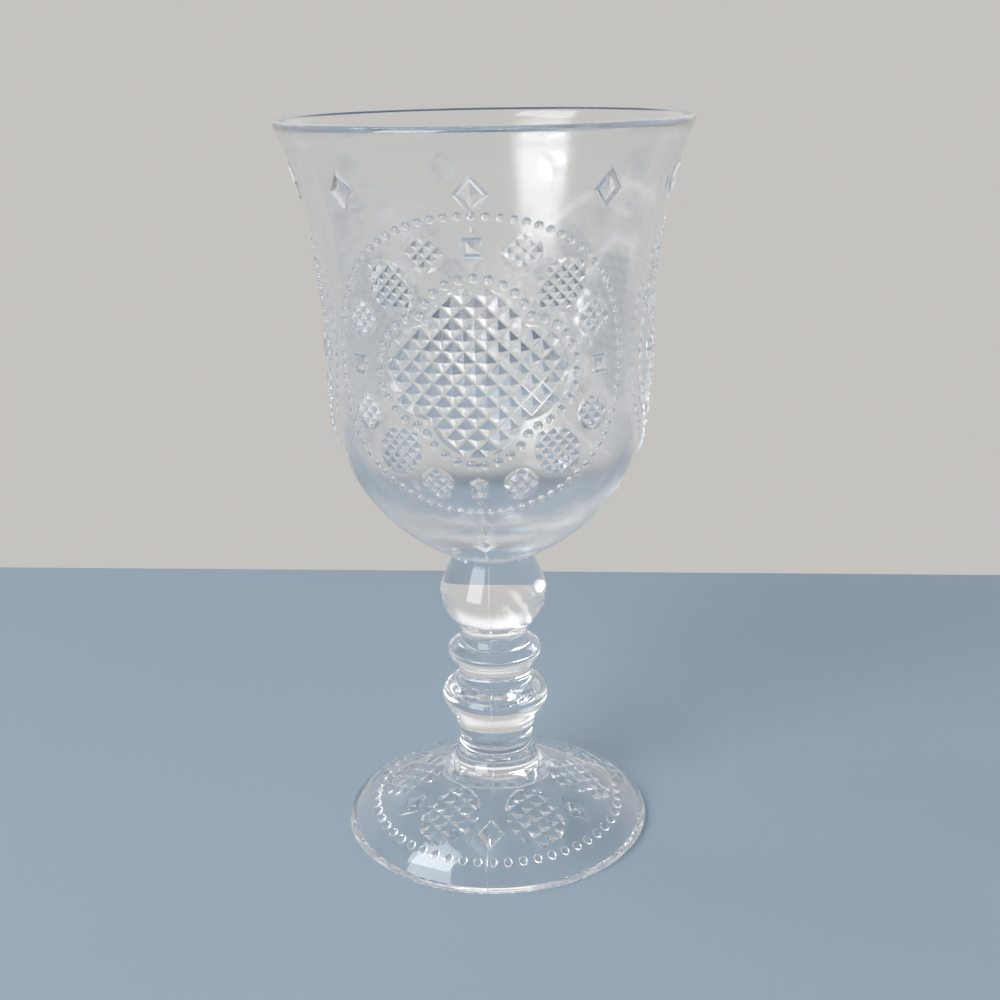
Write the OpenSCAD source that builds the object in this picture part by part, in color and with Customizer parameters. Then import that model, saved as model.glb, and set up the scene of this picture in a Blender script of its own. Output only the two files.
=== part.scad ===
// Pressed-glass water goblet: a flared bowl on a stem of two knops and a ring, over a dished foot.
// The goblet stands on Z = 0 with its axis on Z.

/* [Bowl] */
// Height of the bowl, from its seat on the stem to the lip
bowl_h = 105.6; // [95:0.1:125]
// Outer radius of the lip
rim_r = 47.6; // [44:0.1:54]
// Thickness of the rounded lip
lip_t = 2.4; // [2:0.1:3.2]
// Lean of the wall at the lip, from upright
lip_lean = 26; // [15:1:35]
// Outer radius at the waist, where the wall stands upright
waist_r = 38.3; // [34:0.1:42]
// Height of the waist above the seat
waist_h = 43.6; // [38:0.1:54]
// Thickness of the wall at the waist
wall_t = 3.2; // [2.4:0.1:4.2]
// Thickness of the glass under the middle of the bowl
floor_t = 8; // [5:0.1:10]
// Radius of the seat on the stem
seat_r = 9.7; // [8:0.1:11.5]
// Height of the short collar above the seat
collar_h = 0.9; // [0.5:0.1:2]

/* [Upper knop] */
// Height of the upper knop
upper_knop_h = 21.3; // [17:0.1:25]
// Radius of the upper knop at its widest
upper_knop_r = 13.5; // [12:0.1:17]
// Height of its widest place above the neck under it
upper_knop_rise = 12.1; // [10:0.1:14]
// Radius of the neck under it
upper_neck_r = 8.1; // [7:0.1:10]

/* [Stem ring] */
// Height of the ring between the knops
ring_h = 11.7; // [10:0.1:15]
// Radius of the ring at its widest
ring_r = 11.9; // [11:0.1:15]
// Height of its widest place above the neck under it
ring_rise = 7.8; // [6:0.1:9.5]
// Radius of the neck under it
ring_neck_r = 9.1; // [8:0.1:10.5]

/* [Lower knop] */
// Height of the lower knop
lower_knop_h = 14.5; // [12:0.1:19]
// Radius of the lower knop at its widest
lower_knop_r = 13.5; // [12:0.1:17]
// Height of its widest place above the foot's neck
lower_knop_rise = 9.5; // [8:0.1:11.5]

/* [Foot] */
// Height of the foot, with its neck
foot_h = 25.6; // [22:0.1:32]
// Radius of the foot
foot_r = 39.1; // [34:0.1:44]
// Thickness of the foot's rounded edge
foot_edge_t = 2; // [1.6:0.1:3.2]
// Radius of the foot's neck
foot_neck_r = 9.4; // [8:0.1:11]
// Height of the straight neck above its spread
neck_h = 2; // [0.5:0.1:3]
// Radius at which the neck has run out into the dome
dome_top_r = 11.4; // [10:0.1:14]
// Height of the dome there
dome_top_z = 17; // [14:0.1:18]
// Thickness of the glass in the dome
foot_t = 4.2; // [3:0.1:5]
// Width of the flat ring that the goblet stands on
stand_w = 1.8; // [1.2:0.1:2.6]

/* [Hidden] */

// Steps in each curve of an outline, and facets round the axis where a piece is drawn
curve_steps = 14;
$fn = 96;

// Heights of the joints, from the foot up, where the pieces meet face to face
foot_joint_z = foot_h;
ring_joint_z = foot_joint_z + lower_knop_h;
upper_joint_z = ring_joint_z + ring_h;
bowl_joint_z = upper_joint_z + upper_knop_h;
goblet_h = bowl_joint_z + bowl_h;

// Colour of the clear glass
glass_colour = [0.80, 0.88, 0.92, 0.55];

// A value that lies a share of the way from one to another
function part_way(from, to, share) = from + (to - from) * share;

// A cubic curve between two points, drawn towards its two controls
function cubic(a, b, c, d, t) =
    pow(1 - t, 3) * a + 3 * pow(1 - t, 2) * t * b + 3 * (1 - t) * t * t * c + pow(t, 3) * d;
function curve(a, b, c, d) =
    [for (i = [0 : curve_steps]) cubic(a, b, c, d, i / curve_steps)];

// A point at a distance and an angle from nothing, and an arc about a centre
function polar(r, angle) = r * [cos(angle), sin(angle)];
function arc(centre, r, from, to) =
    [for (i = [0 : curve_steps]) centre + polar(r, part_way(from, to, i / curve_steps))];

// A stretch of outline without its first point, which the stretch before it already has
function after_first(points) = [for (i = [1 : len(points) - 1]) points[i]];

// A glass piece turned about Z from its outline, given as radius and height
module turned_glass(outline) {
    color(glass_colour) rotate_extrude() polygon(outline);
}

// A solid length of stem that swells between two necks. Each neck is a radius and a height.
// The three shares of a side: how far out and how far along the curve leaves its neck,
// and how far it runs upright at the widest place.
module swelling(low_neck, high_neck, wide_r, wide_z, low_shares, high_shares) {
    turned_glass(concat(
        [[0, low_neck[1]]],
        curve(low_neck,
              [part_way(low_neck[0], wide_r, low_shares[0]),
               part_way(low_neck[1], wide_z, low_shares[1])],
              [wide_r, part_way(wide_z, low_neck[1], low_shares[2])],
              [wide_r, wide_z]),
        after_first(curve([wide_r, wide_z],
              [wide_r, part_way(wide_z, high_neck[1], high_shares[2])],
              [part_way(high_neck[0], wide_r, high_shares[0]),
               part_way(high_neck[1], wide_z, high_shares[1])],
              high_neck)),
        [[0, high_neck[1]]]));
}

// How the bowl's curves lean: out and up from the collar and up to the waist outside,
// then up from the waist and down from the lip, then down to the floor and out along it inside
bowl_base_shares = [0.54, 0.165, 0.50];
bowl_flare_shares = [0.40, 0.30];
bowl_floor_shares = [0.67, 0.57];

module bowl() {
    collar_z = bowl_joint_z + collar_h;
    waist_z = bowl_joint_z + waist_h;
    floor_z = bowl_joint_z + floor_t;
    inner_r = waist_r - wall_t;
    flare_h = goblet_h - waist_z;
    lip_r = lip_t / 2;
    lip_centre = [rim_r - lip_r, goblet_h - lip_r];
    lip_outside = lip_centre + polar(lip_r, -lip_lean);
    lip_inside = lip_centre + polar(lip_r, 180 - lip_lean);
    down_from_lip = polar(flare_h * bowl_flare_shares[1], 270 - lip_lean);
    turned_glass(concat(
        [[0, bowl_joint_z], [seat_r, bowl_joint_z]],
        curve([seat_r, collar_z],
              [part_way(seat_r, waist_r, bowl_base_shares[0]),
               part_way(collar_z, waist_z, bowl_base_shares[1])],
              [waist_r, part_way(collar_z, waist_z, bowl_base_shares[2])],
              [waist_r, waist_z]),
        after_first(curve([waist_r, waist_z],
              [waist_r, part_way(waist_z, goblet_h, bowl_flare_shares[0])],
              lip_outside + down_from_lip,
              lip_outside)),
        after_first(arc(lip_centre, lip_r, -lip_lean, 180 - lip_lean)),
        after_first(curve(lip_inside,
              lip_inside + down_from_lip,
              [inner_r, part_way(waist_z, goblet_h, bowl_flare_shares[0])],
              [inner_r, waist_z])),
        after_first(curve([inner_r, waist_z],
              [inner_r, part_way(waist_z, floor_z, bowl_floor_shares[0])],
              [inner_r * bowl_floor_shares[1], floor_z],
              [0, floor_z]))));
}

// How the stem's swellings leave their necks, below and above their widest places
upper_knop_low_shares = [0.06, 0.36, 0.54];
upper_knop_high_shares = [0.49, 0.31, 0.12];
ring_low_shares = [0.22, 0.88, 0.41];
ring_high_shares = [0.31, 0.76, 0.33];
lower_knop_low_shares = [0.34, 0.53, 0.24];
lower_knop_high_shares = [0.26, 0.25, 0.60];

module upper_knop() {
    swelling([upper_neck_r, upper_joint_z], [seat_r, bowl_joint_z],
             upper_knop_r, upper_joint_z + upper_knop_rise,
             upper_knop_low_shares, upper_knop_high_shares);
}

module stem_ring() {
    swelling([ring_neck_r, ring_joint_z], [upper_neck_r, upper_joint_z],
             ring_r, ring_joint_z + ring_rise,
             ring_low_shares, ring_high_shares);
}

module lower_knop() {
    swelling([foot_neck_r, foot_joint_z], [ring_neck_r, ring_joint_z],
             lower_knop_r, foot_joint_z + lower_knop_rise,
             lower_knop_low_shares, lower_knop_high_shares);
}

// How the foot's curves lean: in from the edge, then out and down from the top of the dome,
// then the pull of both ends of the neck's spread towards the corner between them,
// then out along the top of the hollow, and out and down towards the standing ring
foot_dome_shares = [0.18, 0.62, 0.54];
foot_spread_share = 0.35;
foot_hollow_shares = [0.45, 0.78, 0.60];

module foot() {
    edge_r = foot_edge_t / 2;
    edge_lean = 50;
    edge_centre = [foot_r - edge_r, edge_r];
    edge_top = edge_centre + polar(edge_r, edge_lean);
    dome_w = foot_r - dome_top_r;
    dome_top = [dome_top_r, dome_top_z];
    dome_control = [dome_top_r + dome_w * foot_dome_shares[1], dome_top_z * (1 - foot_dome_shares[2])];
    dome_slope = (dome_top[1] - dome_control[1]) / (dome_control[0] - dome_top[0]);
    neck_start = [foot_neck_r, foot_h - neck_h];
    neck_corner = [foot_neck_r, dome_top_z + (dome_top_r - foot_neck_r) * dome_slope];
    hollow_r = foot_r - edge_r - stand_w;
    hollow_z = dome_top_z - foot_t;
    turned_glass(concat(
        curve([0, hollow_z],
              [hollow_r * foot_hollow_shares[0], hollow_z],
              [hollow_r * foot_hollow_shares[1], hollow_z * (1 - foot_hollow_shares[2])],
              [hollow_r, 0]),
        arc(edge_centre, edge_r, -90, edge_lean),
        after_first(curve(edge_top,
              edge_top + polar(dome_w * foot_dome_shares[0], edge_lean + 90),
              dome_control,
              dome_top)),
        after_first(curve(dome_top,
              part_way(dome_top, neck_corner, foot_spread_share),
              part_way(neck_start, neck_corner, foot_spread_share),
              neck_start)),
        [[foot_neck_r, foot_joint_z], [0, foot_joint_z]]));
}

bowl();
upper_knop();
stem_ring();
lower_knop();
foot();
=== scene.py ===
# %% [markdown]
# A pressed-glass water goblet, dressed for its portrait.
# The construction is already made: five solids that meet face to face, packed as a fixed frame. This
# lesson gives them the surface that the press leaves on the glass, which is diamond points, beads,
# lozenges and fine mould seams, then the glass itself, and a small pale studio round it.
# Everything is in metres, in the frame's own axes: +Z up, with a panel of the bowl facing -Y.

# %% Load the frame
import math

import bmesh
import bpy
import numpy as np
from mathutils import Matrix, Quaternion, Vector
from mathutils.geometry import delaunay_2d_cdt


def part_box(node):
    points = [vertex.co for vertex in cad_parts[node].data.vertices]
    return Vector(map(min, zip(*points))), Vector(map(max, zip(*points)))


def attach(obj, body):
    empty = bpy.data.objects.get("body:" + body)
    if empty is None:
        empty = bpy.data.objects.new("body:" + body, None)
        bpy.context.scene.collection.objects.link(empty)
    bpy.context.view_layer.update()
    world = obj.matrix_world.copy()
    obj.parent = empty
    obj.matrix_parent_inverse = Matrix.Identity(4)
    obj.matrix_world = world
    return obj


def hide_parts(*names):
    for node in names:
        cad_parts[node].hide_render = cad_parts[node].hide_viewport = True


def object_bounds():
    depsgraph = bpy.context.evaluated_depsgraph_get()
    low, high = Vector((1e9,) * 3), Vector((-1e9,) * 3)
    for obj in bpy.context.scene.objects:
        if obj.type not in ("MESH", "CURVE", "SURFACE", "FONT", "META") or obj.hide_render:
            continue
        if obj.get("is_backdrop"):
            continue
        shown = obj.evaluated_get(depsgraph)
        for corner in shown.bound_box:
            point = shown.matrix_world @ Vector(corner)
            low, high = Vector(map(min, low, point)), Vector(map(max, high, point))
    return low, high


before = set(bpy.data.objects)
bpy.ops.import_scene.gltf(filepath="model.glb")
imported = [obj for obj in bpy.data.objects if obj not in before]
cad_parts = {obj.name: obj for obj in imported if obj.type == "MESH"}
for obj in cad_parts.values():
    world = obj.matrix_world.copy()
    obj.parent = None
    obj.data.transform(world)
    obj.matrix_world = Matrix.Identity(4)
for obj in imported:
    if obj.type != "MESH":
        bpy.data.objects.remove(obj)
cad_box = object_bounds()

MM = 0.001
for node in sorted(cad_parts):
    low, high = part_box(node)
    print(f"{node}: {(high.x - low.x) / MM:.1f} mm across, {low.z / MM:.1f} to {high.z / MM:.1f} mm high")

# %% [markdown]
# Every piece is turned, so its whole shape is one outline: radius against height.
# The outline could be typed in again here, but then two files would have to agree. It is read off the
# frame's own mesh instead. Points with the same radius and height are one point of the outline, and the
# mesh's edges say which point comes next.

# %% Read a piece's outline off the frame
SAME_POINT = 0.03 * MM
STRAIGHT = 0.0005
KEY_DIGITS = 5


def outline_of(node, from_axis=False):
    """The corners of a turned node's outline in order, as (radius, height).

    The walk along it starts at the point nearest the axis, or else at the lowest one.
    """
    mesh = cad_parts[node].data
    key = [(round(math.hypot(*v.co[:2]), KEY_DIGITS), round(v.co.z, KEY_DIGITS)) for v in mesh.vertices]
    exact, beside = {}, {}
    for k, v in zip(key, mesh.vertices):
        exact.setdefault(k, []).append((math.hypot(*v.co[:2]), v.co.z))
    for edge in mesh.edges:
        a, b = (key[i] for i in edge.vertices)
        if a != b:
            beside.setdefault(a, set()).add(b)
            beside.setdefault(b, set()).add(a)
    here = min(exact, key=(lambda k: k) if from_axis else (lambda k: k[1]))
    walk = [here]
    while True:
        ahead = beside[here] - set(walk)
        if not ahead:
            break
        here = min(ahead, key=lambda k: math.dist(k, here))
        walk.append(here)
    points = [np.mean(exact[k], axis=0) for k in walk]
    kept = points[:1]
    for before, here, after in zip(points, points[1:], points[2:]):
        if math.dist(kept[-1], here) < SAME_POINT:
            continue
        one, two = (here - before), (after - here)
        bend = abs(one[0] * two[1] - one[1] * two[0]) / (np.linalg.norm(one) * np.linalg.norm(two))
        if bend > STRAIGHT:
            kept.append(here)
    kept.append(points[-1])
    return np.array(kept)


outlines = {
    "bowl": outline_of("bowl", from_axis=True)[::-1],
    "upper_knop": outline_of("upper_knop"),
    "stem_ring": outline_of("stem_ring"),
    "lower_knop": outline_of("lower_knop"),
    "foot": outline_of("foot", from_axis=True),
}
for name, points in outlines.items():
    ends = [tuple(float(v) for v in np.round(end / MM, 1)) for end in (points[0], points[-1])]
    print(f"{name}: {len(points)} corners, from {ends[0]} to {ends[1]} mm")

# %% [markdown]
# Glass has no facets where the mould is turned, so a smooth curve is drawn through the corners. A cubic
# runs between each two of them and leaves each one along the mean direction of its two sides. Real
# corners, such as the edge of a joint or of the standing ring, are kept by starting a new run there. A
# cubic can swing a hair past its corners, so the curve is held inside their box, and the foot doesn't
# sink into the board.

# %% A smooth curve through an outline
SHARP_TURN = math.radians(24)
FINE = 0.1 * MM


def leans(way, length, corners):
    """The curve's direction at each corner of one smooth run."""
    lean = np.empty((len(way) + 1, 2))
    lean[1:-1] = way[:-1] * length[1:, None] + way[1:] * length[:-1, None]
    lean[1:-1] /= np.linalg.norm(lean[1:-1], axis=1)[:, None]
    for end, beside, side in ((0, 1, 0), (-1, -2, -1)):
        if corners[end][0] < SAME_POINT:
            lean[end] = (np.sign(way[side][0]), 0)
        elif len(way) > 1:
            lean[end] = 2 * (way[side] @ lean[beside]) * way[side] - lean[beside]
        else:
            lean[end] = way[side]
    return lean


class Outline:
    """A smooth curve through the corners of an outline, with its lengths measured along its sides."""

    def __init__(self, corners):
        side = np.diff(corners, axis=0)
        length = np.linalg.norm(side, axis=1)
        way = side / length[:, None]
        self.knots = np.concatenate([[0], np.cumsum(length)])
        turn = np.arccos(np.clip((way[1:] * way[:-1]).sum(1), -1, 1))
        breaks = [0] + [i + 1 for i in range(len(turn)) if turn[i] > SHARP_TURN] + [len(corners) - 1]
        points, ways, along = [], [], []
        for first, last in zip(breaks, breaks[1:]):
            lean = leans(way[first:last], length[first:last], corners[first:last + 1])
            for i in range(first, last):
                steps = max(2, math.ceil(length[i] / FINE))
                t = np.linspace(0, 1, steps, endpoint=False)[:, None]
                p, q = corners[i], corners[i + 1]
                m, n = lean[i - first] * length[i], lean[i - first + 1] * length[i]
                points.append((2 * t**3 - 3 * t**2 + 1) * p + (t**3 - 2 * t**2 + t) * m
                              + (3 * t**2 - 2 * t**3) * q + (t**3 - t**2) * n)
                ways.append((6 * t**2 - 6 * t) * (p - q) + (3 * t**2 - 4 * t + 1) * m
                            + (3 * t**2 - 2 * t) * n)
                along.append(self.knots[i] + t[:, 0] * length[i])
        self.along = np.concatenate(along + [self.knots[-1:]])
        self.points = np.clip(np.vstack(points + [corners[-1:]]), corners.min(0), corners.max(0))
        self.ways = np.vstack(ways + [lean[-1:]])
        self.ways /= np.linalg.norm(self.ways, axis=1)[:, None]

    def place(self, along):
        """Radius, height and both parts of the outward direction, at lengths along the outline."""
        at = lambda values: np.interp(along, self.along, values)
        r, z = at(self.points[:, 0]), at(self.points[:, 1])
        way_r, way_z = at(self.ways[:, 0]), at(self.ways[:, 1])
        size = np.hypot(way_r, way_z)
        return r, z, way_z / size, -way_r / size

    def rings(self, start, end, step):
        """Lengths for rings: one at each corner on the way, and none further apart than a step."""
        stops = [start] + [k for k in self.knots if start + FINE < k < end - FINE] + [end]
        made = [np.linspace(a, b, max(1, math.ceil((b - a) / step)), endpoint=False)
                for a, b in zip(stops, stops[1:])]
        return np.concatenate(made + [[end]])


outline = {name: Outline(points) for name, points in outlines.items()}
for name, curve in outline.items():
    print(f"{name}: the outline is {curve.knots[-1] / MM:.1f} mm long")

# %% [markdown]
# The mould opens in three, and leaves a fine raised line where its parts meet, down the middle of each
# panel and on down the stem and foot. A line could be a bump in the material, but it catches the light
# at its edges, so it is made of real faces: each ring of points has two extra points close beside each
# seam, and the point between them stands a little proud.

# %% Rings of points, with three mould seams
PANELS = 3
FACINGS = [math.radians(-90 + 360 / PANELS * i) for i in range(PANELS)]
STEPS_PER_PANEL = 64
SEAM_HALF_WIDTH = 0.26 * MM
SEAM_HEIGHT = 0.16 * MM
SEAM_WIDEST = math.radians(1.6)


def ring_angles(radius):
    """Angles of a ring's points all the way round, and which of them lie on a seam."""
    step = 2 * math.pi / PANELS / STEPS_PER_PANEL
    beside = min(SEAM_HALF_WIDTH / max(radius, SEAM_HALF_WIDTH), SEAM_WIDEST)
    share = np.array([0, beside] + [i * step for i in range(1, STEPS_PER_PANEL)]
                     + [2 * math.pi / PANELS - beside])
    angles = np.concatenate([facing + share for facing in FACINGS])
    on_seam = np.tile(np.arange(len(share)) == 0, PANELS)
    return angles, on_seam


print(f"{len(ring_angles(1)[0])} points in each ring")

# %% [markdown]
# A mesh is gathered from patches: turned walls, carved walls and flat joint faces. They are built apart
# and then welded where their edges meet, so each glass piece ends as one closed surface.

# %% Gather patches into one closed piece
WALL, FACET, BEAD, JOINT = range(4)
MOULD_SLOT, JOINT_SLOT, PLUNGER_SLOT = range(3)
WELD = 0.002 * MM
CREASE = math.radians(32)


class Patches:
    """Points and faces of one piece, gathered patch by patch."""

    def __init__(self):
        self.points, self.faces, self.kinds = [], [], []
        self.count = 0

    def add(self, points, faces, kinds):
        self.points.append(np.asarray(points, float))
        self.faces += [tuple(i + self.count for i in face) for face in faces]
        self.kinds += [kinds] * len(faces) if isinstance(kinds, int) else list(kinds)
        self.count += len(points)

    def turned(self, curve, along, seam=True, fade=()):
        """A wall turned about Z, with rings at the given lengths of an outline."""
        radius, height, out_r, out_z = curve.place(along)
        rings = []
        for i, r in enumerate(radius):
            angles, on_seam = ring_angles(r)
            proud = np.where(on_seam, SEAM_HEIGHT if seam and i not in fade else 0, 0)
            reach = r + out_r[i] * proud
            rings.append(np.stack([reach * np.cos(angles), reach * np.sin(angles),
                                   height[i] + out_z[i] * proud], 1))
        n = len(rings[0])
        faces = [(i * n + j, i * n + (j + 1) % n, (i + 1) * n + (j + 1) % n, (i + 1) * n + j)
                 for i in range(len(rings) - 1) for j in range(n)]
        self.add(np.vstack(rings), faces, WALL)

    def joint_face(self, radius, height):
        """A flat disc where two pieces meet."""
        angles, _ = ring_angles(radius)
        n = len(angles)
        points = [(radius * math.cos(a), radius * math.sin(a), height) for a in angles] + [(0, 0, height)]
        self.add(points, [(j, (j + 1) % n, n) for j in range(n)], JOINT)

    def build(self, name):
        """Welds the patches, turns all faces outwards and marks the creases."""
        mesh = bpy.data.meshes.new(name)
        mesh.from_pydata(np.vstack(self.points).tolist(), [], self.faces)
        kinds = mesh.attributes.new("kind", "INT", "FACE")
        kinds.data.foreach_set("value", self.kinds)
        bm = bmesh.new()
        bm.from_mesh(mesh)
        layer = bm.faces.layers.int["kind"]
        bmesh.ops.remove_doubles(bm, verts=bm.verts, dist=WELD)
        bmesh.ops.dissolve_degenerate(bm, edges=bm.edges, dist=WELD)
        bmesh.ops.recalc_face_normals(bm, faces=bm.faces)
        open_edges = sum(not e.is_manifold for e in bm.edges)
        for face in bm.faces:
            face.smooth = face[layer] in (WALL, BEAD)
            face.material_index = JOINT_SLOT if face[layer] == JOINT else MOULD_SLOT
        for edge in bm.edges:
            if len(edge.link_faces) == 2:
                one, two = edge.link_faces
                edge.smooth = one[layer] == two[layer] and edge.calc_face_angle() < CREASE
        volume = bm.calc_volume() / MM**3
        bm.to_mesh(mesh)
        bm.free()
        piece = bpy.data.objects.new(name, mesh)
        bpy.context.scene.collection.objects.link(piece)
        print(f"{name}: {len(mesh.vertices)} points, {len(mesh.polygons)} faces, "
              f"{open_edges} open edges, {volume:.0f} mm3")
        return piece


trial = Patches()
trial.joint_face(*outlines["upper_knop"][0])
print(f"a joint face has {trial.count} points and {len(trial.faces)} faces")

# %% [markdown]
# The pattern is drawn flat first. On the bowl the flat sheet is the wall unrolled: across is the
# distance round the waist from the middle of a panel, and up is the distance along the outline from the
# waist. Under the foot it is simply the plan. All flat sizes are millimetres.
# Each motif has a shape, given by one formula that says how deep a point lies inside it. From that
# formula come its edge, which cells of the diamond lattice it holds, and where the plain wall has to
# keep out.

# %% Shapes, as the depth of a point inside them
def disc(radius):
    """Depths are lengths from the edge, and outside the shape they are negative."""
    return lambda x, y: radius - np.hypot(x, y)


def shifted(shape, dx, dy, turned=0.0):
    """A shape moved to another place, and turned by an angle about its own middle."""
    c, s = math.cos(turned), math.sin(turned)
    return lambda x, y: shape((x - dx) * c + (y - dy) * s, -(x - dx) * s + (y - dy) * c)


def joined(*shapes):
    return lambda x, y: np.max([shape(x, y) for shape in shapes], axis=0)


def common(*shapes):
    return lambda x, y: np.min([shape(x, y) for shape in shapes], axis=0)


def oval(half_wide, half_high):
    return lambda x, y: (1 - np.hypot(x / half_wide, y / half_high)) * min(half_wide, half_high)


def pointed_oval(half_wide, half_high):
    """The overlap of two discs, with its points up and down."""
    radius = (half_wide**2 + half_high**2) / (2 * half_wide)
    offset = radius - half_wide
    return common(shifted(disc(radius), offset, 0), shifted(disc(radius), -offset, 0))


def quatrefoil(across, up, lobe):
    """Four round lobes about a middle. Across and up are how far the lobes reach."""
    return joined(shifted(disc(lobe), across - lobe, 0), shifted(disc(lobe), lobe - across, 0),
                  shifted(disc(lobe), 0, up - lobe), shifted(disc(lobe), 0, lobe - up))


def polar(reach, angle, centre=(0.0, 0.0)):
    """The place at a distance and an angle from a centre."""
    return centre[0] + reach * math.cos(angle), centre[1] + reach * math.sin(angle)


SHEET_REACH = 60.0
EDGE_HALVINGS = 44


def edge_point(shape, centre, angle):
    """Where a ray from inside a shape leaves it, found by halving."""
    low, high = 0.0, SHEET_REACH
    way = np.array([math.cos(angle), math.sin(angle)])
    for _ in range(EDGE_HALVINGS):
        middle = (low + high) / 2
        inside = shape(*(centre + way * middle)) > 0
        low, high = (middle, high) if inside else (low, middle)
    return centre + way * low


lobe_end = edge_point(quatrefoil(3, 3, 2), np.zeros(2), 0.0)
print(f"a quatrefoil that reaches 3 mm across ends at {lobe_end[0]:.3f} mm")

# %% [markdown]
# A flat drawing holds points with a height, and the lines between them. The heights say how proud of
# the wall the glass stands there. Filling the drawing with triangles is left to a Delaunay
# triangulation that is bound to keep every drawn line, so ridges and valleys come out crisp with few
# faces, which a fine grid can't do.

# %% A flat drawing of relief
class Drawing:
    """Points with heights, lines between them, and the areas that each motif fills."""

    def __init__(self):
        self.points, self.heights, self.lines, self.areas = [], [], [], []

    def point(self, x, y, height=0.0):
        self.points.append((float(x), float(y)))
        self.heights.append(float(height))
        return len(self.points) - 1

    def loop(self, points, height=0.0):
        ids = [self.point(*p, height) for p in points]
        self.lines += list(zip(ids, ids[1:] + ids[:1]))
        return ids

    def area(self, ids, kind):
        self.areas.append((list(ids), kind))


trial = Drawing()
trial.loop([(0, 0), (1, 0), (0, 1)])
print(f"a drawn triangle has {len(trial.points)} points and {len(trial.lines)} lines")

# %% [markdown]
# A bead is a small dome: a ring of points on the wall, rings above it that close in, and one on top.
# The rings follow a half ellipse, so the dome rises steeply from the wall as a pressed bead does.

# %% Beads
BEAD_SIDES = 14
BEAD_ROW_RAYS = 1440
BEAD_RING_SHARES = (1.0, 0.88, 0.66, 0.36)


def bead(drawing, x, y, radius, height):
    rings = []
    for share in BEAD_RING_SHARES:
        level = height * math.sqrt(1 - share**2)
        rings.append([drawing.point(*polar(radius * share, 2 * math.pi * i / BEAD_SIDES, (x, y)), level)
                      for i in range(BEAD_SIDES)])
    top = drawing.point(x, y, height)
    for ring in rings:
        drawing.lines += list(zip(ring, ring[1:] + ring[:1]))
    for one, two in zip(rings, rings[1:]):
        drawing.lines += list(zip(one, two))
    drawing.lines += [(i, top) for i in rings[-1]]
    drawing.area(rings[0], BEAD)


def bead_row(shape, centre, spacing, start=0.0):
    """Places at equal spacing round a shape's edge, starting at the given angle."""
    angles = np.linspace(0, 2 * math.pi, BEAD_ROW_RAYS + 1) + start
    edge = np.array([edge_point(shape, np.array(centre, float), a) for a in angles])
    along = np.concatenate([[0], np.cumsum(np.linalg.norm(np.diff(edge, axis=0), axis=1))])
    count = round(along[-1] / spacing)
    at = np.arange(count) * along[-1] / count
    return np.stack([np.interp(at, along, edge[:, 0]), np.interp(at, along, edge[:, 1])], 1)


trial = Drawing()
bead(trial, 0, 0, radius=1, height=1)
print(f"a bead has {len(trial.points)} points, and {len(bead_row(disc(10), (0, 0), 3))} beads 3 mm apart "
      "go round a disc of 10 mm")

# %% [markdown]
# A lozenge is a cut diamond in a frame. Its four-sided rings share their corners' directions, so every
# face between two rings is flat, and the light jumps at each crease: up over the rim, down into the
# groove, and up again to the point in the middle.

# %% Framed lozenges
LOZENGE_RING_SHARES = (1.0, 0.80, 0.58)
LOZENGE_RIM, LOZENGE_GROOVE, LOZENGE_POINT = 0.55, -0.15, 0.50


def lozenge(drawing, x, y, half_wide, half_high, turned=0.0):
    c, s = math.cos(turned), math.sin(turned)
    corners = [(half_wide, 0), (0, half_high), (-half_wide, 0), (0, -half_high)]
    rings = []
    for share, level in zip(LOZENGE_RING_SHARES, (0, LOZENGE_RIM, LOZENGE_GROOVE)):
        rings.append([drawing.point(x + share * (a * c - b * s), y + share * (a * s + b * c), level)
                      for a, b in corners])
    top = drawing.point(x, y, LOZENGE_POINT)
    for ring in rings:
        drawing.lines += list(zip(ring, ring[1:] + ring[:1]))
    for one, two in zip(rings, rings[1:]):
        drawing.lines += list(zip(one, two))
    drawing.lines += [(i, top) for i in rings[-1]]
    drawing.area(rings[0], FACET)


trial = Drawing()
lozenge(trial, 0, 0, half_wide=3, half_high=4)
print(f"a lozenge has {len(trial.points)} points and {len(trial.lines)} lines")

# %% [markdown]
# Diamond points are the classic filling of pressed glass: a lattice of square pyramids, set cornerwise.
# A narrow flat valley runs between them, because a sharp one would be weak and wouldn't leave the
# mould. Four ridges climb from the corners of each pyramid to its point. Each line is added on its own,
# and cut off at the motif's edge, where the glass comes back to the level of the wall.

# %% Fields of diamond points
PYRAMID_SHARE = 0.88
FLANK_LIMIT = 1.1
LEAST_DEPTH_SHARE = 0.06
FIELD_REACH = 24.0
EDGE_STEP = math.radians(5)
CUT_HALVINGS, OVERSHOOT = 30, 1.5


def cut_at_edge(shape, inner, outer):
    """Where the line from a point inside a shape to one outside it crosses the edge."""
    low, high = 0.0, 1.0
    for _ in range(CUT_HALVINGS):
        middle = (low + high) / 2
        low, high = (middle, high) if shape(*(inner + (outer - inner) * middle)) > 0 else (low, middle)
    return inner + (outer - inner) * low


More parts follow.
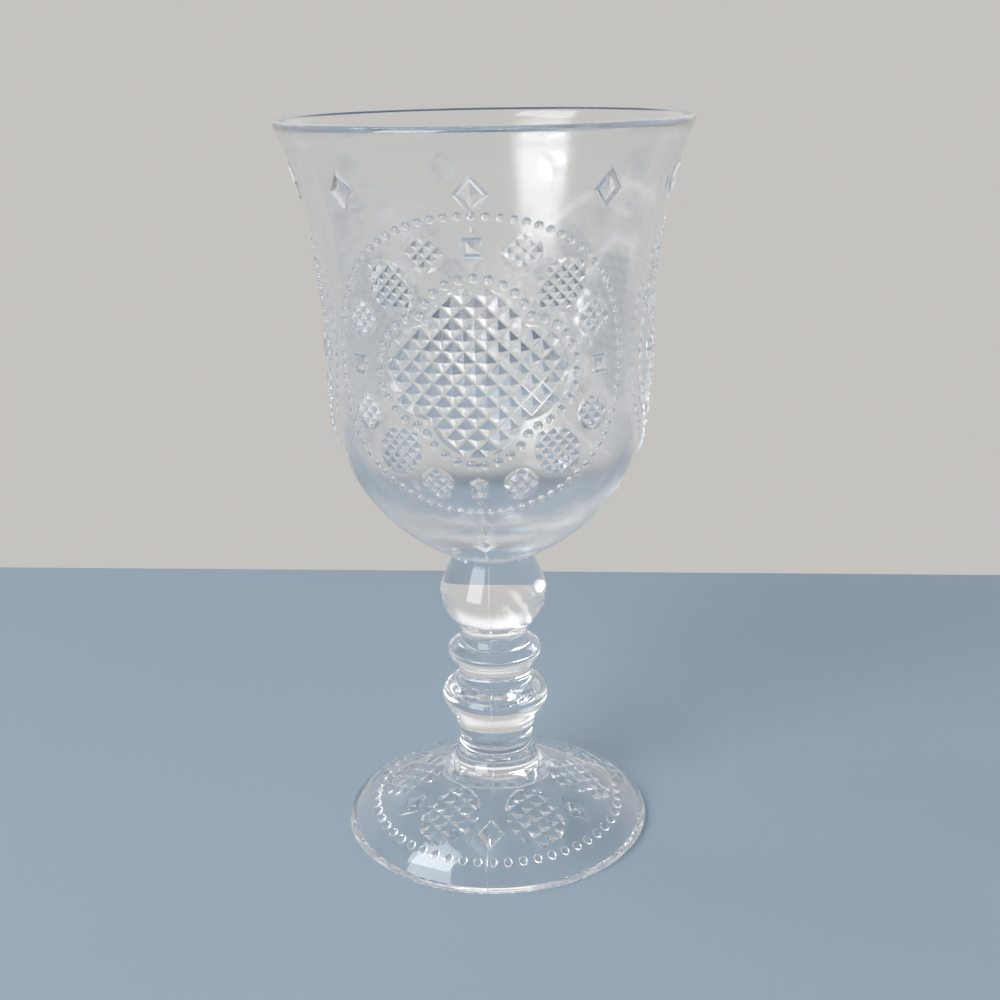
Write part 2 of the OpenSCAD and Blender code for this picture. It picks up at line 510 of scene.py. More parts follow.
def diamond_field(drawing, shape, centre, side, valley, tip):
    """Fills a shape with pyramids of the given side. Near its edge the heights keep to a slope."""
    half = side / math.sqrt(2)
    middle = np.array(centre, float)
    reach = int(FIELD_REACH / half) + 2
    least = LEAST_DEPTH_SHARE * side
    made, crossings = {}, []

    def point(place, level):
        key = tuple(np.round(place, 4))
        if key not in made:
            deep = float(shape(*place))
            if deep > least:
                limit = deep * FLANK_LIMIT
                made[key] = drawing.point(*place, max(-limit, min(limit, level)))
            else:
                made[key] = None
        return made[key]

    def line(p, p_level, q, q_level):
        one, two = point(p, p_level), point(q, q_level)
        if one is not None and two is not None:
            drawing.lines.append((one, two))
        elif one is not None or two is not None:
            inside, inner, outer = (one, p, q) if one is not None else (two, q, p)
            if shape(*outer) > 0:
                outer = inner + (outer - inner) * OVERSHOOT
            if shape(*outer) <= 0:
                crossings.append((cut_at_edge(shape, inner, outer), inside))

    for i in range(-reach, reach + 1):
        for j in range(-reach, reach + 1):
            if (i + j) % 2:
                continue
            top = middle + np.array([i, j]) * half
            if float(shape(*top)) < -half:
                continue
            corners = [top + np.array(way) * half * PYRAMID_SHARE
                       for way in ((1, 0), (0, 1), (-1, 0), (0, -1))]
            for k in range(4):
                line(top, tip, corners[k], valley)
                line(corners[k], valley, corners[k - 1], valley)
    marks = [(math.atan2(*(p - middle)[::-1]) % (2 * math.pi), tuple(p), inside)
             for p, inside in crossings]
    for angle in np.arange(0, 2 * math.pi, EDGE_STEP):
        gap = min((abs((m[0] - angle + math.pi) % (2 * math.pi) - math.pi) for m in marks), default=1)
        if gap > EDGE_STEP / 3:
            marks.append((angle, tuple(edge_point(shape, middle, angle)), None))
    marks.sort(key=lambda mark: mark[0])
    ids = drawing.loop([mark[1] for mark in marks])
    drawing.lines += [(mark[2], i) for mark, i in zip(marks, ids) if mark[2] is not None]
    drawing.area(ids, FACET)


trial = Drawing()
diamond_field(trial, disc(8), (0, 0), side=3, valley=-0.3, tip=0.7)
print(f"a round field of 8 mm has {sum(height == 0.7 for height in trial.heights)} full diamond points")

# %% [markdown]
# The open wall between the motifs gets a plain grid of points, left out wherever a motif or a bead has
# its own. Then the whole drawing is triangulated at once, and each triangle learns from the areas what
# it belongs to.

# %% Fill a drawing with triangles
CLEAR_OF_MOTIFS = 0.55
NEVER_ZERO = 1e-12
FILL_TO_HULL, SAME_PLACE = 0, 1e-5


def keep_clear(drawing, places, clearance=CLEAR_OF_MOTIFS):
    """Of some places, those that lie clear of every area in the drawing."""
    places = np.asarray(places, float)
    clear = np.ones(len(places), bool)
    for ids, _ in drawing.areas:
        edge = np.array([drawing.points[i] for i in ids])
        low, high = edge.min(0) - clearance, edge.max(0) + clearance
        near = np.flatnonzero(clear & (places > low).all(1) & (places < high).all(1))
        if not len(near):
            continue
        p = places[near][:, None]
        a, b = edge[None], np.roll(edge, -1, 0)[None]
        along = np.clip(((p - a) * (b - a)).sum(2) / ((b - a) ** 2).sum(2), 0, 1)
        gap = np.linalg.norm(a + (b - a) * along[..., None] - p, axis=2).min(1)
        straddle = (a[..., 1] > p[..., 1]) != (b[..., 1] > p[..., 1])
        rise = b[..., 1] - a[..., 1] + NEVER_ZERO
        cut = a[..., 0] + (p[..., 1] - a[..., 1]) / rise * (b[..., 0] - a[..., 0])
        inside = (straddle & (p[..., 0] < cut)).sum(1) % 2 == 1
        clear[near[inside | (gap < clearance)]] = False
    return places[clear]


def triangulated(drawing):
    """Points, heights, triangles and kinds of face of a drawing, filled to its convex outline."""
    points = [Vector(p) for p in drawing.points]
    made, _, faces, came_from, _, areas = delaunay_2d_cdt(
        points, drawing.lines, [ids for ids, _ in drawing.areas], FILL_TO_HULL, SAME_PLACE)
    heights = [max((drawing.heights[i] for i in ids), key=abs, default=0.0) for ids in came_from]
    kinds = [drawing.areas[ids[0]][1] if ids else WALL for ids in areas]
    return np.array(made), np.array(heights), faces, kinds


trial_points, _, trial_faces, _ = triangulated(trial)
print(f"filled, that field has {len(trial_points)} points and {len(trial_faces)} faces")

# %% [markdown]
# The bowl's pattern, drawn once for one panel. The middle is a quatrefoil of large diamond points
# inside a row of beads. Round it stand pointed ovals, small round fields and framed lozenges, and a
# plain oval of beads closes the panel. Lozenges stand above the panel in an even band, and one hangs
# below it.
# The pattern is a generic one, put together from motifs that pressed glass has always had.

# %% Lay out a panel of the bowl
MOTIF_HEIGHT = 127.6
SHEET_LOW, SHEET_HIGH = 76.2, 171.0

bowl = outline["bowl"]
outer_end = bowl.along[np.argmax(bowl.points[:, 1])]
outside = (bowl.along < outer_end) & (bowl.points[:, 0] > bowl.points[:, 0].max() / 2)
waist_along = bowl.along[outside][np.argmin(np.abs(bowl.ways[outside, 0]))]
waist_r = float(bowl.place(waist_along)[0]) / MM
half_sheet = waist_r * math.pi / PANELS


def sheet_up(height):
    """How far up the flat sheet the bowl's outer wall reaches a height in millimetres."""
    wall = bowl.along < outer_end
    along = np.interp(height * MM, bowl.points[wall, 1], bowl.along[wall])
    return float(along - waist_along) / MM


print(f"the unrolled panel is {2 * half_sheet:.1f} mm wide and "
      f"{sheet_up(SHEET_HIGH) - sheet_up(SHEET_LOW):.1f} mm high, at a waist radius of {waist_r:.1f} mm")

# %% [markdown]
# Each motif could be placed by hand, but the panel repeats itself round its middle. So the motifs are
# placed a quarter at a time, each at a distance and an angle from there, and only the lozenges above
# and below stand alone. Where there are two distances, the first is for the sides and the second for
# above and below, because the panel is a little wider than it is high.

# %% Draw the panel's motifs
LARGE_SIDE, LARGE_VALLEY, LARGE_TIP = 3.4, -0.45, 0.75
SMALL_SIDE, SMALL_VALLEY, SMALL_TIP = 2.05, -0.25, 0.45
FIELD_LOBES, BEAD_LOBES, BORDER_OVAL = (20.6, 18.6, 10.4), (22.5, 20.5, 12.3), (35.2, 33.6)
BEAD_RADIUS, BEAD_HEIGHT, BEAD_SPACING = 1.12, 0.80, 3.1
BORDER_BEAD_RADIUS, BORDER_BEAD_HEIGHT, BORDER_SPACING = 0.95, 0.65, 2.65
SMALL_LOZENGE, SMALL_LOZENGE_REACH = (3.1, 3.1), (28.6, 26.9)
ROUND_FIELD_RADIUS, ROUND_FIELD_REACH, ROUND_FIELD_LEAN = 4.2, (28.9, 27.5), math.radians(21)
POINTED_FIELD, POINTED_FIELD_REACH = (5.2, 6.8), 25.9
TOP_LOZENGE, TOP_LOZENGE_HEIGHT, TOP_LOZENGES = (3.4, 4.7), 165.3, 3
LOW_LOZENGE, LOW_LOZENGE_HEIGHT = (4.6, 4.2), 84.0


def draw_panel():
    sheet = Drawing()
    middle = (0.0, sheet_up(MOTIF_HEIGHT))
    field = shifted(quatrefoil(*FIELD_LOBES), *middle)
    diamond_field(sheet, field, middle, LARGE_SIDE, LARGE_VALLEY, LARGE_TIP)
    for x, y in bead_row(shifted(quatrefoil(*BEAD_LOBES), *middle), middle, BEAD_SPACING, math.pi / 2):
        bead(sheet, x, y, BEAD_RADIUS, BEAD_HEIGHT)
    for x, y in bead_row(shifted(oval(*BORDER_OVAL), *middle), middle, BORDER_SPACING, math.pi / 2):
        bead(sheet, x, y, BORDER_BEAD_RADIUS, BORDER_BEAD_HEIGHT)
    for quarter in range(4):
        facing, upright = math.pi / 2 * quarter, quarter % 2
        lozenge(sheet, *polar(SMALL_LOZENGE_REACH[upright], facing, middle), *SMALL_LOZENGE, math.pi / 4)
        for side in (-1, 1):
            place = polar(ROUND_FIELD_REACH[upright], facing + side * ROUND_FIELD_LEAN, middle)
            diamond_field(sheet, shifted(disc(ROUND_FIELD_RADIUS), *place), place,
                          SMALL_SIDE, SMALL_VALLEY, SMALL_TIP)
        lean = facing + math.pi / 4
        place = polar(POINTED_FIELD_REACH, lean, middle)
        diamond_field(sheet, shifted(pointed_oval(*POINTED_FIELD), *place, lean - math.pi / 2), place,
                      SMALL_SIDE, SMALL_VALLEY, SMALL_TIP)
    for side in (-1, 0, 1):
        lozenge(sheet, side * 2 * half_sheet / TOP_LOZENGES, sheet_up(TOP_LOZENGE_HEIGHT), *TOP_LOZENGE)
    lozenge(sheet, 0, sheet_up(LOW_LOZENGE_HEIGHT), *LOW_LOZENGE)
    return sheet


panel = draw_panel()
print(f"the panel's motifs have {len(panel.points)} points and {len(panel.areas)} areas")

# %% [markdown]
# The sheet's edge has to match its neighbours point for point, or the welded bowl would have gaps. So
# its upper and lower edges copy the points of the turned rings there, and its sides copy each other.
# Inside the frame the seam runs down the middle wherever the wall is plain, and rows of points fill
# what is left.

# %% Frame the panel and fill its wall
WALL_GRID = 1.7
SIDE_STEP = 1.5
SEAM_STEP, SEAM_BREAK = 1.2, 1.8
FRAME_CLEARANCE = 0.8


def seam_half_width(y):
    """Half the seam's width on the flat sheet, where the circle is stretched to the waist's."""
    radius = bowl.place(waist_along + y * MM)[0]
    return min(SEAM_HALF_WIDTH / radius, SEAM_WIDEST) * waist_r


def frame_panel(sheet):
    """The sheet's edge, whose points match the turned rings above and below and the next sheet's edge."""
    low, high = sheet_up(SHEET_LOW), sheet_up(SHEET_HIGH)
    step = 2 * half_sheet / STEPS_PER_PANEL
    half = STEPS_PER_PANEL // 2
    edge = []
    for y, way in ((low, 1), (high, -1)):
        beside = seam_half_width(y)
        left, right = range(-half, 0), range(1, half + 1)
        across = [i * step for i in left] + [-beside, 0, beside] + [i * step for i in right]
        edge += [sheet.point(x, y, SEAM_HEIGHT / MM if x == 0 and y == low else 0) for x in across[::way]]
        ups = np.linspace(low, high, math.ceil((high - low) / SIDE_STEP) + 1)[1:-1]
        edge += [sheet.point(half_sheet * way, u) for u in ups[::way]]
    sheet.lines += list(zip(edge, edge[1:] + edge[:1]))


def seam_panel(sheet):
    """The mould seam down the middle, wherever the wall is plain. Returns where it ran."""
    low, high = sheet_up(SHEET_LOW), sheet_up(SHEET_HIGH)
    ups = np.linspace(low, high, math.ceil((high - low) / SEAM_STEP) + 1)[1:-1]
    clear = keep_clear(sheet, [(0, u) for u in ups], SEAM_STEP / 2)
    last = None
    for _, y in clear:
        beside = seam_half_width(y)
        profile = ((-beside, 0), (0, SEAM_HEIGHT / MM), (beside, 0))
        now = [sheet.point(x, y, level) for x, level in profile]
        if last is not None and y - last[0] < SEAM_BREAK:
            sheet.lines += list(zip(last[1], now))
        last = (y, now)
    return clear


def fill_panel(sheet, seam):
    low, high = sheet_up(SHEET_LOW), sheet_up(SHEET_HIGH)
    rows = np.arange(low + FRAME_CLEARANCE, high - FRAME_CLEARANCE, WALL_GRID * math.sqrt(3) / 2)
    places = []
    for i, y in enumerate(rows):
        offset = WALL_GRID / 2 * (i % 2)
        places += [(x, y) for x in np.arange(-half_sheet + FRAME_CLEARANCE + offset,
                                             half_sheet - FRAME_CLEARANCE, WALL_GRID)]
    places = keep_clear(sheet, places)
    apart = np.linalg.norm(places[:, None] - seam[None], axis=2).min(1)
    for x, y in places[apart > WALL_GRID / 2]:
        sheet.point(x, y)


frame_panel(panel)
fill_panel(panel, seam_panel(panel))
panel_points, panel_heights, panel_faces, panel_kinds = triangulated(panel)
print(f"one panel has {len(panel_points)} points and {len(panel_faces)} faces")

# %% [markdown]
# The bowl is closed from the joint face up: a turned collar, the carved sheet three times round, the
# turned lip, and the turned inside. Only the outside is carved, because the plunger that forms the
# inside has to pull out. The lip has no seam, because the flame that rounds it melts the seam away.

# %% Make the bowl
RING_STEP, INSIDE_RING_STEP = 1.0 * MM, 1.5 * MM


def wrapped(facing):
    """The panel's points, laid round the bowl about one facing."""
    r, z, out_r, out_z = bowl.place(waist_along + panel_points[:, 1] * MM)
    angle = facing + panel_points[:, 0] / waist_r
    reach = r + out_r * panel_heights * MM
    return np.stack([reach * np.cos(angle), reach * np.sin(angle), z + out_z * panel_heights * MM], 1)


def make_bowl():
    glass = Patches()
    low = waist_along + sheet_up(SHEET_LOW) * MM
    high = waist_along + sheet_up(SHEET_HIGH) * MM
    glass.joint_face(*outlines["bowl"][0])
    glass.turned(bowl, bowl.rings(0, low, RING_STEP), fade=(0,))
    for facing in FACINGS:
        glass.add(wrapped(facing), panel_faces, panel_kinds)
    glass.turned(bowl, bowl.rings(high, outer_end, RING_STEP), seam=False)
    glass.turned(bowl, bowl.rings(outer_end, bowl.knots[-1], INSIDE_RING_STEP), seam=False)
    return glass.build("pressed_bowl")


bowl_glass = make_bowl()

# %% [markdown]
# The stem is three solid swellings. Each is turned in one sweep from its lower joint to its upper one,
# and the mould seams fade out at the joints, so the pieces meet in a plain circle.

# %% Make the stem
STEM_RING_STEP = 0.6 * MM


def make_swelling(node, name):
    curve, corners = outline[node], outlines[node]
    rings = curve.rings(0, curve.knots[-1], STEM_RING_STEP)
    glass = Patches()
    glass.joint_face(*corners[0])
    glass.turned(curve, rings, fade=(0, len(rings) - 1))
    glass.joint_face(*corners[-1])
    return glass.build(name)


upper_knop_glass = make_swelling("upper_knop", "upper_knop_glass")
stem_ring_glass = make_swelling("stem_ring", "stem_ring_glass")
lower_knop_glass = make_swelling("lower_knop", "lower_knop_glass")

# %% [markdown]
# The foot is smooth on top, and its pattern is pressed into the hollow underneath, where it is seen
# through the glass. The same flat drawing serves: here it is the plan of the hollow, and the relief
# hangs from it.

# %% Draw the underside of the foot
HOLLOW_SHEET_R = 33.6
HOLLOW_GRID, HOLLOW_ROW_SHARE = 1.7, 0.9
SPOKES, SPOKE_REACH, SPOKE_FIELD = 6, 20.8, (7.2, 8.6)
FOOT_SIDE, FOOT_VALLEY, FOOT_TIP = 3.1, -0.30, 0.90
FOOT_LOZENGE, FOOT_LOZENGE_REACH = (4.4, 3.7), 23.6
FOOT_BEAD_CIRCLE, FOOT_BEAD_SPACING = 31.0, 3.7


def draw_hollow():
    sheet = Drawing()
    for spoke in range(SPOKES):
        facing = 2 * math.pi / SPOKES * spoke
        place = polar(SPOKE_REACH, facing)
        diamond_field(sheet, shifted(pointed_oval(*SPOKE_FIELD), *place, facing - math.pi / 2), place,
                      FOOT_SIDE, FOOT_VALLEY, FOOT_TIP)
        between = facing + math.pi / SPOKES
        lozenge(sheet, *polar(FOOT_LOZENGE_REACH, between), *FOOT_LOZENGE, between)
    for x, y in bead_row(disc(FOOT_BEAD_CIRCLE), (0, 0), FOOT_BEAD_SPACING):
        bead(sheet, x, y, BEAD_RADIUS, BEAD_HEIGHT)
    angles, _ = ring_angles(HOLLOW_SHEET_R * MM)
    sheet.loop([polar(HOLLOW_SHEET_R, a) for a in angles])
    sheet.point(0, 0)
    reach = HOLLOW_SHEET_R - FRAME_CLEARANCE
    places = []
    for r in np.arange(HOLLOW_GRID, reach, HOLLOW_GRID * HOLLOW_ROW_SHARE):
        count = round(2 * math.pi * r / HOLLOW_GRID)
        places += [polar(r, 2 * math.pi * i / count) for i in range(count)]
    for x, y in keep_clear(sheet, places):
        sheet.point(x, y)
    return sheet


hollow_points, hollow_heights, hollow_faces, hollow_kinds = triangulated(draw_hollow())
print(f"the hollow has {len(hollow_points)} points and {len(hollow_faces)} faces")

# %% [markdown]
# The foot is closed from the middle of its hollow outwards: the carved sheet, the plain rest of the
# hollow down to the standing ring, and then one sweep round the edge, over the dome and up the neck to
# the joint. The seams fade out wherever the outline faces down, so they don't stand below the surface
# that carries the goblet.

# %% Make the foot
def make_foot():
    curve, corners = outline["foot"], outlines["foot"]
    under = curve.along < curve.along[np.argmax(curve.points[:, 0])]
    radius = np.hypot(*hollow_points.T) * MM
    along = np.interp(radius, curve.points[under, 0], curve.along[under])
    r, z, out_r, out_z = curve.place(along)
    reach = np.where(radius > 0, 1 + out_r * hollow_heights * MM / np.maximum(radius, MM), 1) * MM
    glass = Patches()
    glass.add(np.stack([hollow_points[:, 0] * reach, hollow_points[:, 1] * reach,
                        z + out_z * hollow_heights * MM], 1), hollow_faces, hollow_kinds)
    start = float(np.interp(HOLLOW_SHEET_R * MM, curve.points[under, 0], curve.along[under]))
    stand = float(curve.along[under][np.argmin(curve.points[under, 1])])
    inside = curve.rings(start, stand, RING_STEP)
    glass.turned(curve, inside, seam=False)
    rings = curve.rings(stand, curve.knots[-1], RING_STEP)
    underneath = [i for i, out in enumerate(curve.place(rings)[3]) if out < 0]
    glass.turned(curve, rings, fade=underneath + [0, len(rings) - 1])
    glass.joint_face(*corners[-1])
    return glass.build("pressed_foot")


foot_glass = make_foot()

# %% [markdown]
# Each glass piece stands for the frame's solid of the same shape, and rides with it.

# %% Put the pieces on the frame
PIECES = {
    "bowl": bowl_glass,
    "upper_knop": upper_knop_glass,
    "stem_ring": stem_ring_glass,
    "lower_knop": lower_knop_glass,
    "foot": foot_glass,
}
for node, piece in PIECES.items():
    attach(piece, "root")
    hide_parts(node)
print("on the frame:", ", ".join(piece.name for piece in PIECES.values()))

# %% [markdown]
# Materials are networks of small sums. Written as Python expressions they stay readable: a wrapped
# socket knows how to add, subtract and multiply, and each sum adds its own Math node. Every other node
# comes from one method, which sets what the node does and then fills its sockets with numbers, colours
# or other nodes.

# %% A small language for materials
MIX_SHARE, MIX_ONE, MIX_TWO, MIX_COLOUR = 0, 6, 7, 2


class Value:
    """A socket that carries a number, with sums written as Python expressions."""

    def __init__(self, finish, socket):
        self.finish, self.socket = finish, socket

    def math(self, operation, *others):
        return self.finish.node("ShaderNodeMath", {"operation": operation},
                                dict(enumerate((self, *others))))

    def __add__(self, other):
        return self.math("ADD", other)

    def __sub__(self, other):
        return self.math("SUBTRACT", other)

    def __rsub__(self, other):
        return self.finish.node("ShaderNodeMath", {"operation": "SUBTRACT"}, {0: other, 1: self})

    def __mul__(self, other):
        return self.math("MULTIPLY", other)

    __radd__, __rmul__ = __add__, __mul__


class Finish:
    """A material, world or light made of nodes, which all come from one method."""

    def __init__(self, owner):
        owner.use_nodes = True
        self.owner, self.tree = owner, owner.node_tree
        self.tree.nodes.clear()

    def node(self, kind, settings=None, inputs=None, output=0):
        made = self.tree.nodes.new(kind)
        for name, value in (settings or {}).items():
            setattr(made, name, value)
        for name, value in (inputs or {}).items():
            if isinstance(value, Value):
                self.tree.links.new(value.socket, made.inputs[name])
            else:
                made.inputs[name].default_value = value
        return Value(self, made.outputs[output]) if made.outputs else None

    def blend(self, share, one, two):
        """A colour that lies a share of the way from one to another."""
        return self.node("ShaderNodeMix", {"data_type": "RGBA"},
                         {MIX_SHARE: share, MIX_ONE: one, MIX_TWO: two}, MIX_COLOUR)

    def noise(self, scale, detail=2.0):
        """A cloudy number over the object's own coordinates. The scale is in clouds a metre."""
        place = self.node("ShaderNodeTexCoord", output="Object")
        return self.node("ShaderNodeTexNoise", {}, {"Vector": place, "Scale": scale, "Detail": detail})


sums = sorted(name.strip("_") for name in vars(Value) if name.endswith(("add__", "sub__", "mul__")))
print("a wrapped socket knows:", ", ".join(sums))

# %% [markdown]
# Pressed glass is clear, very slightly cool in its thick parts, and not quite flat: the mould leaves a
# faint waviness, and its surface is a touch less bright than blown glass. So the colour, the roughness
# and the bump follow noises, all of them faint.
# The inside of the bowl is another finish. The plunger chills the glass there and leaves it a little
# soft, so the far wall's pattern is blurred behind the near one, and the window's reflection has a soft
# edge. A haze in the whole glass would blur the near pattern too. Here only the faces that the plunger
# formed get the soft finish. The joint faces get a third one, which lets light straight through,
# because the real glass has no joints.

# %% Clear pressed glass
GLASS_IOR = 1.52
MOULD_ROUGHNESS, PLUNGER_ROUGHNESS, CLOUD_ROUGHNESS = 0.0, 0.145, 0.025
CLEAR, COOL = (1.0, 1.0, 1.0, 1.0), (0.985, 0.995, 1.0, 1.0)
CLOUD_SCALE, WAVE_SCALE = 28.0, 95.0
FACES_UP = 0.9


def pressed_glass(name, roughness):
    finish = Finish(bpy.data.materials.new(name))
    cloud = finish.noise(CLOUD_SCALE)
    wave = finish.noise(WAVE_SCALE, detail=1.0)
    bump = finish.node("ShaderNodeBump", {}, {"Strength": 0.10, "Distance": 0.10 * MM, "Height": wave})
    shader = finish.node("ShaderNodeBsdfPrincipled", {}, {
        "Base Color": finish.blend(cloud, CLEAR, COOL),
        "Roughness": cloud * CLOUD_ROUGHNESS + roughness,
        "Normal": bump,
        "Transmission Weight": 1.0,
        "IOR": GLASS_IOR,
    })
    finish.node("ShaderNodeOutputMaterial", {}, {"Surface": shader})
    return finish.owner


def joint_glass():
    """The inside of a joint. The glass runs through it unbroken, so light has to pass and not bend."""
    finish = Finish(bpy.data.materials.new("joint_inside_glass"))
    shader = finish.node("ShaderNodeBsdfPrincipled", {}, {
        "Base Color": finish.blend(finish.noise(CLOUD_SCALE), CLEAR, COOL),
        "Roughness": 0.0,
        "Alpha": 0.0,
    })
    finish.node("ShaderNodeOutputMaterial", {}, {"Surface": shader})
    return finish.owner


def by_plunger(face):
    """Whether the plunger formed a face of the bowl, which then looks at the axis or up."""
    return face.center.xy.dot(face.normal.xy) < 0 or face.normal.z > FACES_UP


finishes = [pressed_glass("clear_pressed_glass", MOULD_ROUGHNESS), joint_glass()]
plunger_finish = pressed_glass("plunger_pressed_glass", PLUNGER_ROUGHNESS)
for piece in PIECES.values():
    for finish in finishes:
        piece.data.materials.append(finish)
bowl_glass.data.materials.append(plunger_finish)
inside = [face for face in bowl_glass.data.polygons if by_plunger(face)]
for face in inside:
    face.material_index = PLUNGER_SLOT
print("finishes:", ", ".join(finish.name for finish in finishes + [plunger_finish]),
      f"with {len(inside)} faces inside the bowl")

# %% [markdown]
# The goblet stands on a pale board, whose back edge lies 18 cm behind it. Clear glass shows what is
# behind it bent and turned over, so it needs two tones to bend: a facet that faces up bends the view
# down to the board, and one that faces down bends it up to the paler wall beyond.

# %% Floor board
BOARD_HALF, BOARD_FRONT, BOARD_BACK, BOARD_DEEP = 1.5, -1.5, 0.180, 0.03
BOARD_ROUNDING, BOARD_CLEARANCE = 0.004, 0.02 * MM
BOARD_TONE, BOARD_SHADE, BOARD_CLOUDS = (0.37, 0.45, 0.53, 1.0), (0.35, 0.43, 0.51, 1.0), 7.0


def make_board():
    low, high = (-BOARD_HALF, BOARD_FRONT, -BOARD_DEEP), (BOARD_HALF, BOARD_BACK, -BOARD_CLEARANCE)
    bm = bmesh.new()
    bmesh.ops.create_cube(bm, size=1)
    for v in bm.verts:
        v.co = Vector((a if c < 0 else b) for a, b, c in zip(low, high, v.co))
    bmesh.ops.bevel(bm, geom=bm.edges, offset=BOARD_ROUNDING, segments=4, affect="EDGES", profile=0.5)
    mesh = bpy.data.meshes.new("board")
    bm.to_mesh(mesh)
    bm.free()
    finish = Finish(bpy.data.materials.new("pale_board"))
    shader = finish.node("ShaderNodeBsdfPrincipled", {}, {
        "Base Color": finish.blend(finish.noise(BOARD_CLOUDS), BOARD_TONE, BOARD_SHADE),
        "Roughness": 0.9,
        "Specular IOR Level": 0.1,
    })
    finish.node("ShaderNodeOutputMaterial", {}, {"Surface": shader})
    mesh.materials.append(finish.owner)
    board = bpy.data.objects.new("board", mesh)
    bpy.context.scene.collection.objects.link(board)
    board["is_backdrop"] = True


make_board()
print(f"board: {2 * BOARD_HALF:.1f} m wide, with its back edge {BOARD_BACK / MM:.0f} mm behind the goblet")

# %% [markdown]
# Glass shows only what stands round it, so its surroundings are drawn as carefully as the piece. They
# could be walls and panels, but a sky of plain tones does it with no edges to hide. A warm grey wall
# stands behind, which gets lighter a little above the rim: facets that bend the view up there turn
# white. Under the board's back edge it is dark, for the facets that bend the view down, and high up is
# a dim ceiling. At the sides and in front there is an even room. One tall window gives the bowl its
# long highlight, and a small softbox, high up on the left and leaning over, the bright patch on the
# foot.

# %% Light the studio
WALL_TONE, TOP_TONE = (0.56, 0.545, 0.525, 1.0), (1.0, 1.0, 1.0, 1.0)
LOW_TONE, ROOM_TONE = (0.08, 0.12, 0.17, 1.0), (0.54, 0.545, 0.55, 1.0)
CEILING_TONE = (0.42, 0.43, 0.45, 1.0)
SIDE_EDGE, BACK_EDGE = (0.42, 0.66), (0.0, 0.5)
TOP_EDGE, LOW_EDGE = (0.06, 0.34), (-0.385, -0.45)
ROOM_EDGE, CEILING_EDGE = (0.2, 0.9), (0.42, 0.60)
LAMP_AIM = Vector((0, 0, 0.1))


def light_sky():
    """A sky whose tones change over the direction's X, Y and Z, each between the two ends of its edge."""
    world = bpy.data.worlds.new("studio_sky")
    bpy.context.scene.world = world
    finish = Finish(world)
    way = finish.node("ShaderNodeTexCoord", output="Generated")
    across, back, height = (finish.node("ShaderNodeSeparateXYZ", {}, {"Vector": way}, axis)
                            for axis in "XYZ")

    def step(value, edge):
        return finish.node("ShaderNodeMapRange", {"interpolation_type": "SMOOTHSTEP"},
                           {"Value": value, "From Min": edge[0], "From Max": edge[1]})

    beside = step(across.math("ABSOLUTE"), SIDE_EDGE)
    behind = step(back, BACK_EDGE)
    wall = finish.blend(step(height, TOP_EDGE), WALL_TONE, TOP_TONE)
    wall = finish.blend(step(height, LOW_EDGE), wall, LOW_TONE)
    room = finish.blend(step(height, ROOM_EDGE), ROOM_TONE, TOP_TONE)
    sky = finish.blend(behind * (1 - beside), room, wall)
    sky = finish.blend(step(height, CEILING_EDGE), sky, CEILING_TONE)
    glow = finish.node("ShaderNodeBackground", {}, {"Color": sky, "Strength": 1.0})
    finish.node("ShaderNodeOutputWorld", {}, {"Surface": glow})


def window(name, azimuth, elevation, distance, size, power, roll=0):
    """An area light that faces the goblet. Angles are in degrees, the azimuth from -Y towards +X."""
    a, e = math.radians(azimuth), math.radians(elevation)
    place = Vector((math.sin(a) * math.cos(e), -math.cos(a) * math.cos(e), math.sin(e))) * distance
    lamp = bpy.data.lights.new(name, "AREA")
    lamp.shape, lamp.size, lamp.size_y = "RECTANGLE", *size
    lamp.energy = power
    holder = bpy.data.objects.new(name, lamp)
    holder.location = place + LAMP_AIM
    turn = place.to_track_quat("Z", "Y") @ Quaternion((0, 0, 1), math.radians(roll))
    holder.rotation_euler = turn.to_euler()
    bpy.context.scene.collection.objects.link(holder)
    print(f"{name}: {size[0]:.2f} x {size[1]:.2f} m, {distance:.1f} m away")


light_sky()
window("tall_window", azimuth=-38, elevation=24, distance=1.6, size=(0.95, 1.25), power=20)
window("high_softbox", azimuth=-93, elevation=60, distance=1.5, size=(0.19, 0.58), power=1.9, roll=-30)

# %% [markdown]
# The picture is shown as it is lit, with plain contrast. Light has to pass many walls of glass, so it
# may bend and reflect more often than the default allows. The filter that blurs light after it has
# passed glass is off, because it swallows light and leaves a false shadow under the foot.

# %% Picture settings
BOUNCES = 24

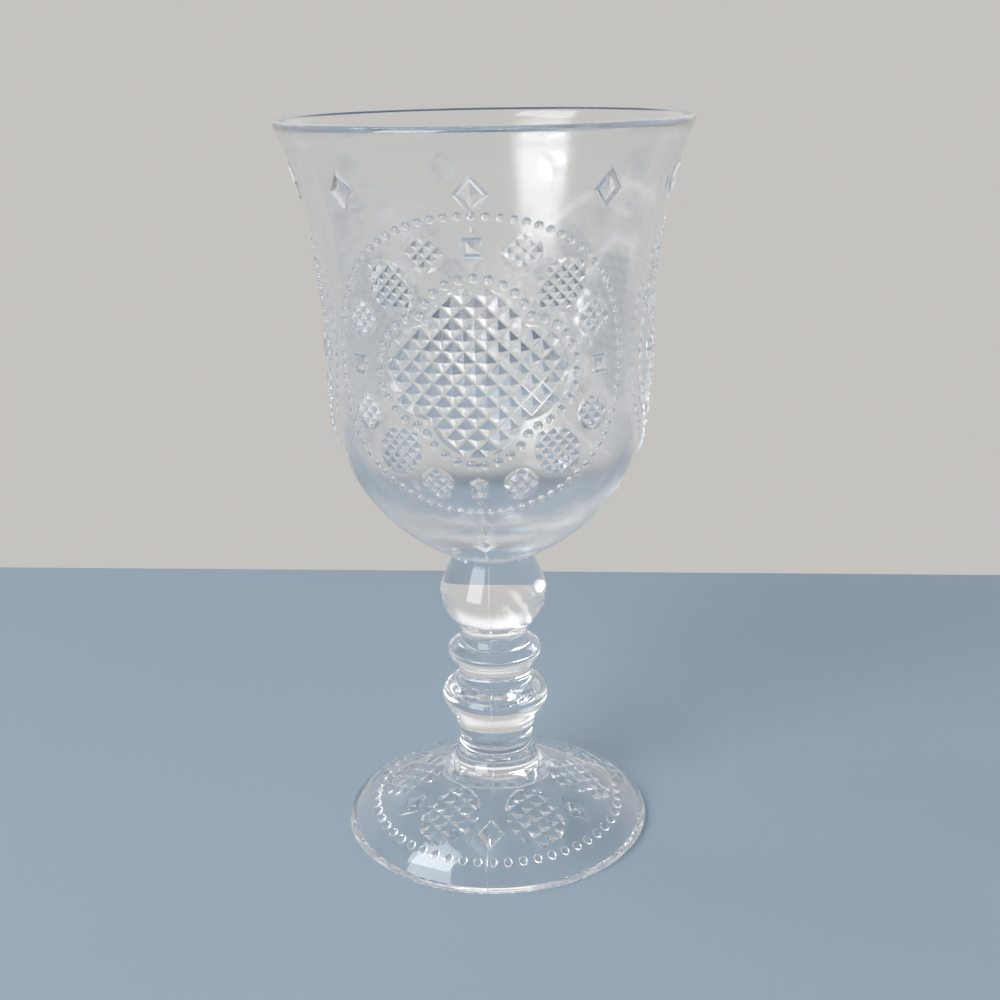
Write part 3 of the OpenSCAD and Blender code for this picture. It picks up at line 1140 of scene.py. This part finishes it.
scene = bpy.context.scene
scene.view_settings.view_transform = "Standard"
scene.cycles.max_bounces = BOUNCES
scene.cycles.glossy_bounces = BOUNCES
scene.cycles.transmission_bounces = BOUNCES
scene.cycles.transparent_max_bounces = BOUNCES
scene.cycles.blur_glossy = 0.0
print(f"view: {scene.view_settings.view_transform}, with {BOUNCES} bounces")

# %% [markdown]
# The camera stands where the photograph was taken from: a little over 30 cm from the goblet's axis,
# just above the rim, looking down at it. These are real lengths and angles, found by fitting the rim,
# the joints and the foot.

# %% Camera
CAMERA_OUT, CAMERA_UP = 322.46 * MM, 192.5 * MM
CAMERA_ROUND = math.radians(4.3)
CAMERA_PITCH, CAMERA_YAW = math.radians(18.1095), math.radians(0.3618)
CAMERA_ROLL = math.radians(-0.98559)
CAMERA_LENS, SENSOR = 49.449, 36.0
NEAR, FAR = 0.01, 20


def make_camera():
    data = bpy.data.cameras.new("camera")
    data.sensor_width, data.sensor_height, data.sensor_fit = SENSOR, SENSOR, "HORIZONTAL"
    data.lens = CAMERA_LENS
    data.clip_start, data.clip_end = NEAR, FAR
    camera = bpy.data.objects.new("camera", data)
    camera.matrix_world = (
        Matrix.Rotation(CAMERA_ROUND, 4, "Z") @ Matrix.Translation((0, -CAMERA_OUT, CAMERA_UP))
        @ Matrix.Rotation(-CAMERA_YAW, 4, "Z") @ Matrix.Rotation(math.pi / 2 - CAMERA_PITCH, 4, "X")
        @ Matrix.Rotation(CAMERA_ROLL, 4, "Z"))
    bpy.context.scene.collection.objects.link(camera)
    bpy.context.scene.camera = camera


make_camera()
print(f"camera: {CAMERA_OUT / MM:.0f} mm out, {CAMERA_UP / MM:.0f} mm up, lens {CAMERA_LENS:.1f} mm")

# %% [markdown]
# Last, the size of what was dressed is written beside the size of the frame, so the two can be
# compared.

# %% Compare the sizes and finish
dressed_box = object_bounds()
for name, (low, high) in (("frame", cad_box), ("dressed", dressed_box)):
    print(f"{name}: " + " x ".join(f"{(b - a) / MM:.2f}" for a, b in zip(low, high)) + " mm")
